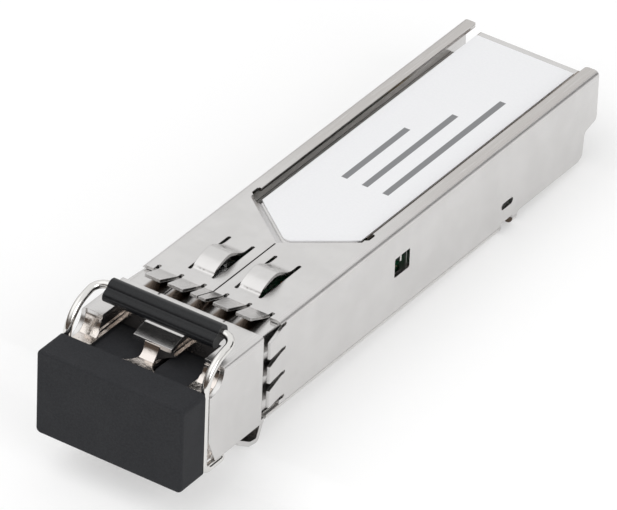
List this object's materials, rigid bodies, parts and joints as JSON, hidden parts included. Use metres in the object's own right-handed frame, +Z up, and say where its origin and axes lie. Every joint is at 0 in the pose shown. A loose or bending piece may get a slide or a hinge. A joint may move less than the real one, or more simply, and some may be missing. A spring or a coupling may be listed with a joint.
{
  "type": "sfp transceiver",
  "caption": "Slim metal optical transceiver module with a duplex fibre nose, wire bail with black grip, spring fingers, recessed label and black dust plug.",
  "frame": {"origin": "on the underside, midway across the width, in the plane of the stop that meets the cage's mouth", "axes": "+X across the width, +Y from the nose towards the host edge, +Z up towards the label"},
  "size_m": [0.0142, 0.0592, 0.0124],
  "materials": {
    "plated_sheet": "nickel plated, satin, fine grain",
    "plated_casting": "plated casting, satin",
    "bright_casting": "bright plated casting",
    "zirconia": "white zirconia, polished",
    "turned_steel": "turned stainless steel",
    "polyimide": "amber flexible circuit",
    "black_plastic": "moulded, matte",
    "green_board": "solder mask over laminate",
    "gold_plate": "gold flash, satin",
    "chip_resin": "moulded epoxy, matte",
    "capacitor_ceramic": "sintered ceramic",
    "resistor_ceramic": "glazed film on ceramic",
    "ferrite": "dark ferrite",
    "bright_wire": "bright plated wire",
    "grip_plastic": "black, glossy",
    "spring_steel": "hardened strip",
    "plug_rubber": "moulded elastomer, matte",
    "label_film": "matte white film with grey bars"
  },
  "bodies": {
    "housing": {"top_cover": "plated_sheet", "base_housing": "plated_casting", "nose_core": "bright_casting", "nose_shell": "plated_sheet", "transmitter_stub": "zirconia", "receiver_stub": "zirconia", "transmitter_barrel": "turned_steel", "receiver_barrel": "turned_steel", "transmitter_can": "turned_steel", "receiver_can": "turned_steel", "transmitter_flex": "polyimide", "receiver_flex": "polyimide", "optics_clamp": "black_plastic", "circuit_board": "green_board", "top_edge_contacts": "gold_plate", "bottom_edge_contacts": "gold_plate", "laser_driver_chip": "chip_resin", "receiver_amplifier_chip": "chip_resin", "controller_chip": "chip_resin", "memory_chip": "chip_resin", "ceramic_capacitors": "capacitor_ceramic", "chip_resistors": "resistor_ceramic", "power_inductors": "ferrite", "lever_pin": "turned_steel", "lever_spring": "spring_steel", "product_label": "label_film"},
    "plug": {"dust_plug": "plug_rubber"},
    "bail": {"bail_wire": "bright_wire", "bail_grip": "grip_plastic"},
    "lever": {"release_lever": "plated_sheet"}
  },
  "joints": [
    {"name": "plug_pull", "type": "slide", "parent": "housing", "child": "plug", "axis": [0, -1, 0], "range_m": [0, 0.03]},
    {"name": "bail_swing", "type": "hinge", "parent": "housing", "child": "bail", "pos_m": [0, -0.0048, -0.0001], "axis": [1, 0, 0], "range_deg": [0, 90]},
    {"name": "lever_rock", "type": "hinge", "parent": "housing", "child": "lever", "pos_m": [0, -0.0022, 0.00085], "axis": [-1, 0, 0], "range_deg": [0, 3.3], "deforming": ["lever_spring"]}
  ],
  "couplings": [
    {"joint": "bail_swing", "follows": "plug_pull", "rad_per_m": 52.307},
    {"joint": "lever_rock", "follows": "plug_pull", "rad_per_m": 1.9179}
  ]
}
